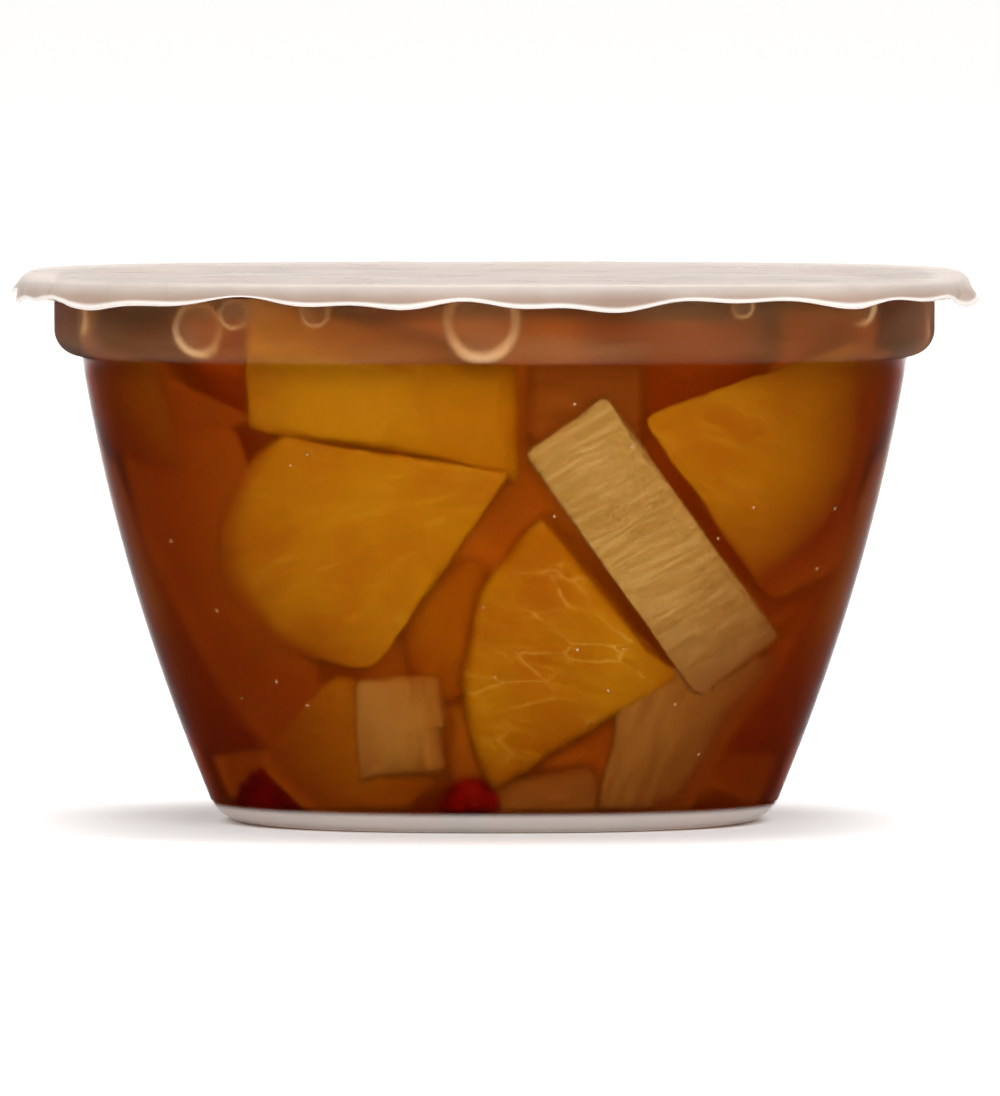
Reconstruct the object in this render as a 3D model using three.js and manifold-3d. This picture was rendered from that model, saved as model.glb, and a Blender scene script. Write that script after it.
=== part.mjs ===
// A sealed single-serve fruit cup: a clear thermoformed cup, its peel-off film and the fruit inside.
// Millimetres, +Z up. The origin is the middle of the face that the cup stands on.
// The cup is a rounded square at the rim and nearly round at the foot, with the same outline rule at every height.

import * as THREE from "three";
import { mergeVertices } from "three/addons/utils/BufferGeometryUtils.js";
import Module from "manifold-3d";

// ---------------------------------------------------------------- driving sizes

const CUP_HEIGHT = 44.2; // foot to the top of the flange
const WALL = 0.6; // plastic thickness
const FLANGE_HALF = 37.9; // half width of the flange, measured along X or Y
const FLANGE_THICKNESS = 0.9;
const LIP_DROP = 0.55; // how far the flange's turned-down edge hangs below the flange
const LIP_WIDTH = 0.7;
const EDGE_BREAK = 0.25; // bevel of the flange's edges

const SHOULDER_HALF = 35.8; // the straight band under the flange
const SHOULDER_BOTTOM = 37.9; // height of the step under the band
const SHOULDER_ROUND = 2.2; // radius between the band and its step

const BODY_HALF = 33.5; // half width of the body where it hangs from the step
const BODY_SLOPE = 0.158; // how fast it narrows just below the step, mm per mm
const BODY_BULGE = 0.0036; // and how much faster that gets lower down
const BODY_STEPS = 6;

const FOOT_ROUND = 3.2; // radius from the wall into the foot
const FOOT_LEAN = 22; // the wall's lean where it meets that radius, in degrees
const FOOT_HALF = 19.8; // outer half width of the flat the cup stands on
const FOOT_WIDTH = 3;
const BASE_RECESS = 1.1; // the middle of the base is pushed up by this much
const RECESS_SLOPE = 1.2; // width of the slope up to it

const RIM_SQUARENESS = 3.3; // exponent of the outline: 2 is a circle, more is squarer
const FOOT_SQUARENESS = 2.3;
const CUP_SEGMENTS = 64;
const ROUND_STEPS = 2;
const FOOT_ARC = [-80, -36]; // ends of the foot's round, in degrees from outward to down
const BAND_ARC = [-68, -8]; // ends of the round under the band

const FILM_THICKNESS = 0.3;
const FILM_GAP = 0.05; // between film and flange
const MARGIN_CLEARANCE = 0.3; // between the flange's edge and the turned-down margin
const MARGIN_DROP = 1.5; // mean length of the margin below the film
const MARGIN_FLARE = 0.4; // how far it stands out at its cut edge
const MARGIN_WAVES = [ // its uneven cut edge: [waves round the rim, height, phase]
  [13, 0.3, 0.4],
  [29, 0.2, 1.9],
  [6, 0.18, 4.1],
];
const FILM_SEGMENTS = 128;

const FILL_LEVEL = 43.8; // top of the syrup
const SUBMERGED = 0.3; // the highest fruit lies this far under it
const CHUNK_CLEARANCE = 0.4; // between fruit and plastic
const CORE_DEPTH = 6; // how far the heap's core lies inside the body's outer face
const CORE_FLOOR = 4;
const CORE_BROAD = 29.5; // half width of the core where it stands in the band
const CORE_TOP = 41.5;
const CORE_STEPS = 2;
const CORE_SEGMENTS = 20;
const CORE_REACH = 1.5; // how far a chunk runs into the core
const CHUNK_BEVEL = 0.7;
const ARC_STEPS = 4; // straight steps along a chunk's round side
const CHERRY_SIDES = 8;
const LYING_DEPTH = 7;
const SMALLEST_DETAIL = 0.1; // finer detail of the joined heap is left out

// ---------------------------------------------------------------- the cup's outline rule

const clamp = (value, low, high) => Math.min(high, Math.max(low, value));

// Outline exponent at a height.
const squareness = (z) =>
  FOOT_SQUARENESS + (RIM_SQUARENESS - FOOT_SQUARENESS) * clamp(z / CUP_HEIGHT, 0, 1);

// Outer half width of the tapering body at a height.
function bodyHalf(z) {
  const down = SHOULDER_BOTTOM - z;
  return BODY_HALF - BODY_SLOPE * down - BODY_BULGE * down * down;
}

// Points of a round from one angle to another, in degrees.
function arc([half, z], radius, from, to, steps) {
  return Array.from({ length: steps + 1 }, (_, i) => {
    const angle = THREE.MathUtils.degToRad(from + ((to - from) * i) / steps);
    return [half + radius * Math.cos(angle), z + radius * Math.sin(angle)];
  });
}

// The cup's wall as [half width, height], from the middle of the base up to a height in the band,
// drawn inwards from the outer face by an inset.
function wallLine(inset, top) {
  const wallEnd = FOOT_ROUND * (1 - Math.sin(THREE.MathUtils.degToRad(FOOT_LEAN)));
  const footReach = FOOT_ROUND * Math.cos(THREE.MathUtils.degToRad(FOOT_LEAN));
  const footCentre = [bodyHalf(wallEnd) - footReach, FOOT_ROUND];
  const bandCentre = [SHOULDER_HALF - SHOULDER_ROUND, SHOULDER_BOTTOM + SHOULDER_ROUND];
  const body = Array.from({ length: BODY_STEPS + 1 }, (_, i) => {
    const z = wallEnd + ((SHOULDER_BOTTOM - wallEnd) * i) / BODY_STEPS;
    return [bodyHalf(z) - inset, z];
  });
  return [
    [0, BASE_RECESS + inset],
    [FOOT_HALF - FOOT_WIDTH - RECESS_SLOPE, BASE_RECESS + inset],
    [FOOT_HALF - FOOT_WIDTH, inset],
    [FOOT_HALF, inset],
    ...arc(footCentre, FOOT_ROUND - inset, FOOT_ARC[0], FOOT_ARC[1], ROUND_STEPS),
    ...body,
    ...arc(bandCentre, SHOULDER_ROUND - inset, BAND_ARC[0], BAND_ARC[1], ROUND_STEPS),
    [SHOULDER_HALF - inset, top],
  ];
}

// Turns a round lathe into the cup's outline: every ring keeps its half width along X and Y.
function squareUp(geometry) {
  const position = geometry.getAttribute("position");
  for (let i = 0; i < position.count; i++) {
    const [x, y, z] = [position.getX(i), position.getY(i), position.getZ(i)];
    const round = Math.hypot(x, y);
    if (round < 1e-6) continue;
    const n = squareness(z);
    const gauge = (Math.abs(x) ** n + Math.abs(y) ** n) ** (1 / n);
    position.setXY(i, (x * round) / gauge, (y * round) / gauge);
  }
  return geometry;
}

// A solid of the cup's outline from a profile of [half width, height] that starts and ends on the axis.
function turned(profile, segments) {
  const points = profile.map(([half, z]) => new THREE.Vector2(half, z));
  const lathe = new THREE.LatheGeometry(points, segments);
  lathe.rotateX(Math.PI / 2); // the lathe turns about Y
  return squareUp(lathe);
}

// ---------------------------------------------------------------- solids and booleans

const wasm = await Module();
wasm.setup();

function solidOf(geometry) {
  const bare = geometry.clone();
  bare.deleteAttribute("normal");
  bare.deleteAttribute("uv");
  const merged = mergeVertices(bare, 1e-3);
  return new wasm.Manifold(
    new wasm.Mesh({
      numProp: 3,
      vertProperties: merged.attributes.position.array,
      triVerts: new Uint32Array(merged.index.array),
    }),
  );
}

function geometryOf(solid) {
  const mesh = solid.getMesh();
  const geometry = new THREE.BufferGeometry();
  geometry.setAttribute("position", new THREE.BufferAttribute(mesh.vertProperties, 3));
  geometry.setIndex(new THREE.BufferAttribute(mesh.triVerts, 1));
  geometry.computeVertexNormals();
  return geometry;
}

// ---------------------------------------------------------------- cup

function cupProfile() {
  const under = CUP_HEIGHT - FLANGE_THICKNESS;
  const lipInner = FLANGE_HALF - LIP_WIDTH;
  const rim = [
    [lipInner, under],
    [lipInner, under - LIP_DROP],
    [FLANGE_HALF, under - LIP_DROP],
    [FLANGE_HALF, CUP_HEIGHT - EDGE_BREAK],
    [FLANGE_HALF - EDGE_BREAK, CUP_HEIGHT],
    [SHOULDER_HALF - WALL + EDGE_BREAK, CUP_HEIGHT],
  ];
  const inside = wallLine(WALL, CUP_HEIGHT - EDGE_BREAK).reverse();
  return [...wallLine(0, under), ...rim, ...inside];
}

// ---------------------------------------------------------------- film lid

// Length of the turned-down margin at an angle round the rim.
const marginDrop = (angle) =>
  MARGIN_WAVES.reduce(
    (drop, [waves, height, phase]) => drop + height * Math.sin(waves * angle + phase),
    MARGIN_DROP,
  );

function filmLid() {
  const under = CUP_HEIGHT + FILM_GAP;
  const top = under + FILM_THICKNESS;
  const skirt = FLANGE_HALF + MARGIN_CLEARANCE;
  const shoulder = FILM_THICKNESS / 2;
  const profile = [
    [0, under],
    [skirt - FILM_GAP, under],
    [skirt, under - FILM_GAP],
    [skirt + MARGIN_FLARE, CUP_HEIGHT - MARGIN_DROP],
    [skirt + MARGIN_FLARE + FILM_THICKNESS, CUP_HEIGHT - MARGIN_DROP],
    [skirt + FILM_THICKNESS, top - shoulder],
    [skirt + FILM_THICKNESS - shoulder, top],
    [0, top],
  ];
  const film = turned(profile, FILM_SEGMENTS);
  const position = film.getAttribute("position");
  for (let i = 0; i < position.count; i++) {
    const hangs = position.getZ(i) < CUP_HEIGHT - MARGIN_DROP / 2;
    if (!hangs) continue; // only the cut edge takes the margin's own length
    const angle = Math.atan2(position.getY(i), position.getX(i));
    position.setZ(i, CUP_HEIGHT - marginDrop(angle));
  }
  return film;
}

// ---------------------------------------------------------------- fruit

// A cut wedge: two straight sides from its point and one round side. Angles are in degrees.
function wedge(point, reach, from, to, bulge = 0) {
  const round = Array.from({ length: ARC_STEPS + 1 }, (_, i) => {
    const t = i / ARC_STEPS;
    const angle = THREE.MathUtils.degToRad(from + (to - from) * t);
    const r = reach + bulge * Math.sin(Math.PI * t);
    return [point[0] + r * Math.cos(angle), point[1] + r * Math.sin(angle)];
  });
  return [point, ...round];
}

// A four-sided dice or stick, turned anticlockwise. Taper narrows its top, skew pushes it sideways.
function block([u, v], width, height, turn = 0, taper = 0, skew = 0) {
  const angle = THREE.MathUtils.degToRad(turn);
  const corners = [
    [-width / 2, -height / 2],
    [width / 2, -height / 2],
    [width / 2 - taper + skew, height / 2],
    [-width / 2 + taper + skew, height / 2],
  ];
  return corners.map(([x, y]) => [
    u + x * Math.cos(angle) - y * Math.sin(angle),
    v + x * Math.sin(angle) + y * Math.cos(angle),
  ]);
}

// A cherry.
const cherry = ([u, v], radius) =>
  Array.from({ length: CHERRY_SIDES }, (_, i) => {
    const angle = (2 * Math.PI * (i + 0.5)) / CHERRY_SIDES;
    return [u + radius * Math.cos(angle), v + radius * Math.sin(angle)];
  });

// Chunks that lie against one side of the cup: [outline, inset, lean]. The outline is in that side's
// own across and height, inset is how deep it lies behind the wall, lean how much deeper per mm across.
const FRONT_SIDE = [
  [block([-7.8, 35.6], 22, 10.4, -12, 0, -2.2), 0.5, 0.03], // peach
  [wedge([1.6, 29.5], 19.4, 172, 235, 5.4), 0.7, -0.05], // peach
  [block([-20.6, 18], 10.5, 29, 20), 3.4, 0], // peach
  [wedge([-18.6, 33.6], 13, 156, 194), 3.4, 0], // peach
  [wedge([14.6, 12.8], 17.2, 127, 212), 0.5, 0.04], // peach
  [block([12.5, 23.4], 8, 24, 35), 0, 0], // pineapple
  [wedge([11.8, 33.8], 18, -56, 20, 2), 0.9, 0.1], // peach
  [wedge([-12.2, 13.4], 9.6, 229, 341, 3), 2.4, 0], // peach
  [block([-7.2, 8.2], 7.6, 9.6, 6, 0.4), 1.2, 0], // pear
  [block([10.8, 7.2], 7.6, 11.4, 8, -2.4, 6.2), 1.1, 0], // pear
  [block([22.6, 8.4], 8, 13, -29), 2.8, 0], // peach
  [block([7.2, 34.6], 9.4, 9.4), 2.6, 0], // pear
  [block([3.6, 3.4], 9, 4.6, 8), 2.2, 0], // pineapple
  [block([-3.4, 16.4], 8, 11, 14), 2.4, 0], // peach
  [cherry([-17.2, 3.4], 3.2), 3.4, 0],
  [cherry([-1.6, 2.4], 2.6), 1.4, 0],
];

const CHERRY_SIDE = [
  [block([11.4, 18.4], 12, 24, 4, 3.2), 0.3, 0.02], // peach
  [block([0.4, 14.6], 10.4, 12, 8), 1.6, 0], // pear
  [block([-11.6, 14.8], 20, 9.6, 28, 1.6), 0.8, -0.04], // pineapple
  [wedge([-7.4, 37.4], 18.4, 271, 342, 2), 0.4, 0.02], // peach
  [wedge([-8.2, 37], 17.4, 196, 266, 1), 0.9, -0.04], // peach
  [cherry([-21, 26.6], 4.8), 0.5, 0],
  [wedge([24, 32], 16, 190, 262), 3, 0], // peach
  [block([18, 35], 12, 10, -6), 1.2, 0], // peach
  [wedge([2, 1.4], 13, 16, 66), 2.2, 0], // peach
  [wedge([-2, 1.4], 14, 118, 172), 2.4, 0], // peach
  [block([-3, 24], 14, 12, -10), 5, 0], // peach
];

const mirrored = (chunks) =>
  chunks.map(([outline, inset, lean]) => [outline.map(([u, v]) => [-u, v]), inset, -lean]);

// Each side's chunks, with the turn that brings them round from the front.
const SIDES = [
  [0, FRONT_SIDE],
  [90, mirrored(CHERRY_SIDE)],
  [180, mirrored(FRONT_SIDE)],
  [270, CHERRY_SIDE],
];

// Chunks that lie flat, seen from above: [outline, height of the top].
const LYING = [
  [wedge([-4, 2], 17, 100, 168, 2), 42.6], // peach
  [wedge([5, 5], 17, 14, 86, 1), 41.8], // peach
  [block([17, -7], 9, 23, 22), 42.9], // pineapple
  [wedge([1, -5], 19, 202, 262, 2), 42.4], // peach
  [block([-20, 0], 11, 11, 20), 42], // pear
  [cherry([3, -1], 4.8), 42.8],
  [block([4, -20], 12, 10, -12), 42.2], // pineapple
  [block([2, 22], 13, 9, 9), 42.7], // pear
  [block([24.5, -23.5], 9, 8.5, 28), 42.6], // pear
  [block([-24, -16], 10, 15, -40), 41.2], // peach
  [block([25, 15], 10, 15, -38), 41.6], // peach
  [wedge([-3, 1], 13, 20, 96, 2), 8.4], // peach
  [wedge([-2, -2], 13, 196, 262, 1), 8.2], // peach
  [block([7, -7], 9, 10, 30), 8.5], // pineapple
  [block([-9, 8], 8, 9, 14), 8.3], // pear
];

// A chunk's outline made solid, lying in XY with its face up.
function slab(outline, depth) {
  const shape = new THREE.Shape(outline.map(([u, v]) => new THREE.Vector2(u, v)));
  return new THREE.ExtrudeGeometry(shape, {
    depth: depth - 2 * CHUNK_BEVEL,
    steps: 1,
    bevelThickness: CHUNK_BEVEL,
    bevelSize: CHUNK_BEVEL,
    bevelOffset: -CHUNK_BEVEL,
    bevelSegments: 1,
  }).translate(0, 0, CHUNK_BEVEL - depth);
}

// A chunk pressed to a side of the cup: its face follows the wall, its back runs into the core.
function sideChunk([outline, inset, lean], turn) {
  const chunk = slab(outline, CORE_DEPTH + CORE_REACH - inset);
  const middle = outline.reduce((sum, [u]) => sum + u, 0) / outline.length;
  const position = chunk.getAttribute("position");
  for (let i = 0; i < position.count; i++) {
    const [u, z, face] = [position.getX(i), position.getY(i), position.getZ(i)];
    const wall = bodyHalf(Math.min(z, SHOULDER_BOTTOM)) - WALL - CHUNK_CLEARANCE;
    position.setXYZ(i, u, inset + lean * (u - middle) - face - wall, z);
  }
  return solidOf(chunk.rotateZ(THREE.MathUtils.degToRad(turn)));
}

const lyingChunk = ([outline, top]) => solidOf(slab(outline, LYING_DEPTH).translate(0, 0, top));

// The room for fruit: the inside of the cup, drawn in on every side to stay clear of the plastic.
function cavity() {
  const top = FILL_LEVEL - SUBMERGED;
  const sides = wallLine(WALL + CHUNK_CLEARANCE, top);
  return solidOf(turned([...sides, [0, top]], CUP_SEGMENTS));
}

function core() {
  const sides = Array.from({ length: CORE_STEPS + 1 }, (_, i) => {
    const z = CORE_FLOOR + ((SHOULDER_BOTTOM - CORE_FLOOR) * i) / CORE_STEPS;
    return [bodyHalf(z) - CORE_DEPTH, z];
  });
  const head = [[CORE_BROAD, CORE_TOP], [0, CORE_TOP]];
  return solidOf(turned([[0, CORE_FLOOR], ...sides, ...head], CORE_SEGMENTS));
}

function fruitHeap() {
  const sides = SIDES.flatMap(([turn, side]) => side.map((c) => sideChunk(c, turn)));
  const heap = wasm.Manifold.union([core(), ...sides, ...LYING.map(lyingChunk)]).intersect(cavity());
  // Sealed hollows and loose scraps come apart as shells of their own; the outer skin is the largest.
  const shells = heap.simplify(SMALLEST_DETAIL).decompose();
  return geometryOf(shells.reduce((a, b) => (b.volume() > a.volume() ? b : a)));
}

// ---------------------------------------------------------------- assembly

const clearPlastic = new THREE.MeshStandardMaterial({
  color: 0xe9e4dd,
  roughness: 0.12,
  metalness: 0,
  transparent: true,
  opacity: 0.3,
});
const milkyFilm = new THREE.MeshStandardMaterial({
  color: 0xe6ded6,
  roughness: 0.35,
  metalness: 0,
  transparent: true,
  opacity: 0.6,
});
const fruitInSyrup = new THREE.MeshStandardMaterial({
  color: 0xc47a12,
  roughness: 0.45,
  metalness: 0,
});

function piece(name, geometry, material) {
  const mesh = new THREE.Mesh(geometry, material);
  mesh.name = name;
  return mesh;
}

const fruitCup = new THREE.Group();
fruitCup.add(piece("cup", turned(cupProfile(), CUP_SEGMENTS), clearPlastic));
fruitCup.add(piece("film_lid", filmLid(), milkyFilm));
fruitCup.add(piece("fruit_heap", fruitHeap(), fruitInSyrup));

export default fruitCup;
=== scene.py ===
"""A sealed single-serve fruit cup: clear plastic cup, peel-off film, syrup, bubbles and mixed fruit."""

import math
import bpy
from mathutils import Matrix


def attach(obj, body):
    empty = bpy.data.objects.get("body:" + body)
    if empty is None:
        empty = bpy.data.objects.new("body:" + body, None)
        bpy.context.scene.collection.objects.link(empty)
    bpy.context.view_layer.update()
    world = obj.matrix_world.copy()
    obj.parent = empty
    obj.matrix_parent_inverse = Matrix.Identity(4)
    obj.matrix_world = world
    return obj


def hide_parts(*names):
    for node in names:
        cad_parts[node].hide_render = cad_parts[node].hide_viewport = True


bl_info = {
    "name": "Fruit Cup",
    "version": (1, 0, 0),
    "blender": (4, 5, 0),
    "location": "View3D > Sidebar > Fruit Cup",
    "description": "Builds a sealed cup of mixed fruit in amber syrup, with its film lid and studio",
    "category": "Object",
}

import bpy
import numpy as np
from bpy.props import FloatProperty, FloatVectorProperty, IntProperty, PointerProperty
from mathutils import Vector, noise

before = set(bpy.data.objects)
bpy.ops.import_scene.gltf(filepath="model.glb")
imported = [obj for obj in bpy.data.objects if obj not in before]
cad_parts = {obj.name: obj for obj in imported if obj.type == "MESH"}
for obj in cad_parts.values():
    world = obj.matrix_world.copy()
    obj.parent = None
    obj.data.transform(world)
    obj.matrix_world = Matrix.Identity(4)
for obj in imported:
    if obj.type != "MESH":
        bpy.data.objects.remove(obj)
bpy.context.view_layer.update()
BODY = "root"
MM = 0.001

# ---------------------------------------------------------------- the cup's sizes, in millimetres

CUP_HEIGHT = 44.2
WALL = 0.6
FLANGE_HALF = 37.9
FLANGE_THICKNESS = 0.9
LIP_DROP = 0.55
LIP_WIDTH = 0.7
RIM_ROUND = 0.22
SHOULDER_HALF = 35.8
SHOULDER_BOTTOM = 37.9
SHOULDER_ROUND = 2.2
BODY_HALF = 33.5
BODY_SLOPE = 0.158
BODY_BULGE = 0.0036
FOOT_ROUND = 3.2
FOOT_LEAN = 22
FOOT_HALF = 19.8
FOOT_WIDTH = 3
FOOT_STRIP = 1.8  # how far up the foot its painted highlight strip reaches
BASE_RECESS = 1.1
BASE_ROUND = 0.8
RECESS_SLOPE = 1.2
RIM_SQUARENESS = 3.3
FOOT_SQUARENESS = 2.3

FILM_GAP = 0.05
FILM_RISE = 0.15  # from the film's underside to its middle surface
FILM_ROUND = 0.45  # round of the edge where the margin turns down
MARGIN_CLEARANCE = 0.3
MARGIN_TILT = 74
# The margin's cut edge and its tilt wave round the rim: number of waves, height, phase.
MARGIN_WAVES = [(13, 0.3, 0.4), (29, 0.2, 1.9), (6, 0.18, 4.1)]
TILT_WAVES = [(9, 10, 1.0), (23, 6, 0.0)]
SEAL_INNER = SHOULDER_HALF - 0.8
SEAL_OUTER = FLANGE_HALF - 0.3

SYRUP_INSET = 0.12  # from the wall's outer skin
SYRUP_ROUND = 0.3
SYRUP_TOP = CUP_HEIGHT + 0.08

CHUNK_CLEARANCE = 0.4
FRUIT_TOP = 43.5
LYING_DEPTH = 7
CORE_DEPTH = 6
CORE_FLOOR = 4
CORE_TOP = 41.5
CORE_BROAD = 29.5
CORE_REACH = 1.5  # how far a chunk's back reaches into the core
CORE_ROUND = 1.5
RANK_STEP = 0.05  # keeps chunks that meet at the wall from sharing one surface
# For each millimetre behind a chunk's face its room gets this much smaller: all round, and then at
# its floor and ceiling.
LAYER_NARROWING = 0.05
LAYER_LOWERING = 0.01

BUBBLE_HALF_THICKNESS = 1.3
BUBBLE_CLEARANCE = 0.3
BUBBLE_CEILING = CUP_HEIGHT - 0.1
SPECK_INSET = 0.25
SPECK_BOTTOM = 6
SMALLEST_SPECK = 0.06
LARGEST_SPECK = 0.13
SIDE_HALF = 29  # a side of the cup as specks are counted on it
SIDE_HEIGHT = 31

FLOOR_REACH = 30000

# Painted shade, as millimetres of syrup: how much darker a chunk's colour is made where it gets less
# light: towards the corners, low down, and below its own middle.
CORNER_SHADE = 4.0
LOW_SHADE = 1.4
UNDER_SHADE = 0.18

# The camera's elevation in degrees and distance in metres, then its picture in pixels.
CAMERA_ELEVATION = 1.4
CAMERA_DISTANCE = 1.5
PICTURE_COLUMNS = 1000
PICTURE_ROWS = 1096
PIXELS_PER_MM = 12.3
SENSOR = 36
# The row of the rim and the column of the cup's middle, before the camera turns to the cup's middle.
RIM_ROW = 541
CENTRE_COLUMN = 494.5


# ---------------------------------------------------------------- the cup's outline rule


def squareness(z):
    """Exponent of the outline at a height: 2 is a circle, more is squarer."""
    rise = np.clip(np.asarray(z, float) / CUP_HEIGHT, 0, 1)
    return FOOT_SQUARENESS + (RIM_SQUARENESS - FOOT_SQUARENESS) * rise


def gauge(x, y, z):
    """Half width of the outline that passes through a point."""
    n = squareness(z)
    return (np.abs(x) ** n + np.abs(y) ** n) ** (1 / n)


def body_half(z):
    """Outer half width of the tapering body."""
    down = SHOULDER_BOTTOM - np.asarray(z, float)
    return BODY_HALF - BODY_SLOPE * down - BODY_BULGE * down * down


def arc(centre, radius, start, end, steps):
    """Points of a round, from one angle to another in degrees."""
    angles = np.radians(np.linspace(start, end, steps + 1))
    return [(centre[0] + radius * math.cos(a), centre[1] + radius * math.sin(a)) for a in angles]


def rounding(before, here, after, radius, steps, share):
    """Points of a round in place of a corner. It takes at most a share of each side."""
    to_before, to_after = before - here, after - here
    a, b = np.linalg.norm(to_before), np.linalg.norm(to_after)
    reach = min(radius, a * share, b * share)
    start, end = here + to_before / a * reach, here + to_after / b * reach
    along = np.linspace(0, 1, steps + 1)
    return [(1 - t) ** 2 * start + 2 * t * (1 - t) * here + t * t * end for t in along]


def corner(points, radius, steps=4):
    """A line of [half width, height] points with its inner corners rounded off."""
    points = [np.array(p, float) for p in points]
    out = [points[0]]
    for before, here, after in zip(points, points[1:], points[2:]):
        out += rounding(before, here, after, radius, steps, 1 / 2.2)
    return out + [points[-1]]


def wall_line(inset, top, body_steps=26):
    """The cup's wall from the middle of the base to a height in the band, drawn inwards by an inset."""
    lean = math.radians(FOOT_LEAN)
    wall_end = FOOT_ROUND * (1 - math.sin(lean))
    foot_centre = (body_half(wall_end) - FOOT_ROUND * math.cos(lean), FOOT_ROUND)
    band_centre = (SHOULDER_HALF - SHOULDER_ROUND, SHOULDER_BOTTOM + SHOULDER_ROUND)
    base = corner(
        [
            (0, BASE_RECESS + inset),
            (FOOT_HALF - FOOT_WIDTH - RECESS_SLOPE, BASE_RECESS + inset),
            (FOOT_HALF - FOOT_WIDTH, inset),
            (FOOT_HALF, inset),
        ],
        BASE_ROUND,
    )
    body = [(body_half(z) - inset, z) for z in np.linspace(wall_end, SHOULDER_BOTTOM, body_steps)]
    return [
        *base,
        *arc(foot_centre, FOOT_ROUND - inset, -86, -FOOT_LEAN - 4, 9),
        *body,
        *arc(band_centre, SHOULDER_ROUND - inset, -74, -4, 9),
        (SHOULDER_HALF - inset, (SHOULDER_BOTTOM + SHOULDER_ROUND + top) / 2),
        (SHOULDER_HALF - inset, top),
    ]


ROOM = np.array(wall_line(WALL + CHUNK_CLEARANCE, FRUIT_TOP))
ROOM_WALL = ROOM[ROOM[:, 0] > FOOT_HALF]


def room_half(z):
    """Half width of the room for fruit at a height."""
    return np.interp(z, ROOM_WALL[:, 1], ROOM_WALL[:, 0])


# ---------------------------------------------------------------- meshes


def ring_faces(rings, count, closed=False):
    """Quads between rings of the same number of points."""
    here = np.arange(count)
    after = (here + 1) % count
    faces = []
    for ring in range(rings if closed else rings - 1):
        low = ring * count
        high = (ring + 1) % rings * count
        faces += np.stack([low + here, low + after, high + after, high + here], axis=1).tolist()
    return faces


def fan(tip, first, count, down=False):
    """Triangles between a tip and a ring whose points start at first. down turns them over."""
    here = np.arange(count)
    after = (here + 1) % count
    if down:
        here, after = after, here
    return [[tip, first + a, first + b] for a, b in zip(here.tolist(), after.tolist())]


def spun(x, y, degrees):
    """Coordinates turned anticlockwise about Z."""
    a = math.radians(degrees)
    return x * math.cos(a) - y * math.sin(a), x * math.sin(a) + y * math.cos(a)


def turned(profile, segments):
    """Points and faces of a profile turned round Z in the cup's outline. Ends on the axis become poles."""
    profile = np.array(profile, float)
    first, last = profile[0, 0] < 1e-9, profile[-1, 0] < 1e-9
    rings = profile[int(first) : len(profile) - int(last)]
    angle = np.linspace(0, 2 * math.pi, segments, endpoint=False)
    x = rings[:, 0:1] * np.cos(angle)
    y = rings[:, 0:1] * np.sin(angle)
    z = np.repeat(rings[:, 1:2], segments, axis=1)
    scale = rings[:, 0:1] / gauge(x, y, z)
    points = np.stack([x * scale, y * scale, z], axis=-1).reshape(-1, 3)
    faces = ring_faces(len(rings), segments, closed=not (first or last))
    if first:
        faces += fan(len(points), 0, segments, down=True)
        points = np.vstack([points, [0, 0, profile[0, 1]]])
    if last:
        faces += fan(len(points), (len(rings) - 1) * segments, segments)
        points = np.vstack([points, [0, 0, profile[-1, 1]]])
    return points, faces


def joined(meshes):
    """One list of points and one of faces, from several of each."""
    all_points, all_faces, start = [], [], 0
    for points, faces in meshes:
        all_points.append(points)
        all_faces += [[start + i for i in face] for face in faces]
        start += len(points)
    return np.concatenate(all_points), all_faces


def new_piece(name, points, faces, material, attributes=None):
    """A shown object of the part from points in millimetres, with any vector attributes for its finish."""
    mesh = bpy.data.meshes.new(name)
    mesh.from_pydata((np.asarray(points) * MM).tolist(), [], faces)
    for key, values in (attributes or {}).items():
        layer = mesh.attributes.new(key, "FLOAT_VECTOR", "POINT")
        layer.data.foreach_set("vector", np.asarray(values, np.float32).ravel())
    mesh.polygons.foreach_set("use_smooth", [True] * len(mesh.polygons))
    mesh.materials.append(material)
    mesh.validate()
    piece = bpy.data.objects.new(name, mesh)
    bpy.context.scene.collection.objects.link(piece)
    return piece


def bumps(points, size, seed, octaves=3):
    """Smooth noise from -1 to 1 at points in millimetres. size is the width of a bump."""
    shift = Vector((seed * 17.3, seed * 5.1, seed * 29.7))
    values = [
        noise.fractal(Vector(p) / size + shift, 1.0, 2.0, octaves, noise_basis="PERLIN_ORIGINAL")
        for p in points
    ]
    return np.array(values)


def outward(points, rise):
    """Directions away from the axis, with a share of each point's height in them."""
    away = points * np.array([1, 1, rise])
    return away / np.maximum(np.linalg.norm(away, axis=1), 1e-6)[:, None]


# ---------------------------------------------------------------- shader words


class Wire:
    """A shader socket that does sums: an expression on wires adds its Math nodes."""

    def __init__(self, finish, socket):
        self.finish = finish
        self.socket = socket

    def _sum(self, operation, other):
        return self.finish.node("ShaderNodeMath", {"operation": operation}, {0: self, 1: other})

    def __add__(self, other):
        return self._sum("ADD", other)

    def __mul__(self, other):
        return self._sum("MULTIPLY", other)

    def __pow__(self, other):
        return self._sum("POWER", other)

    __radd__ = __add__
    __rmul__ = __mul__


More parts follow.
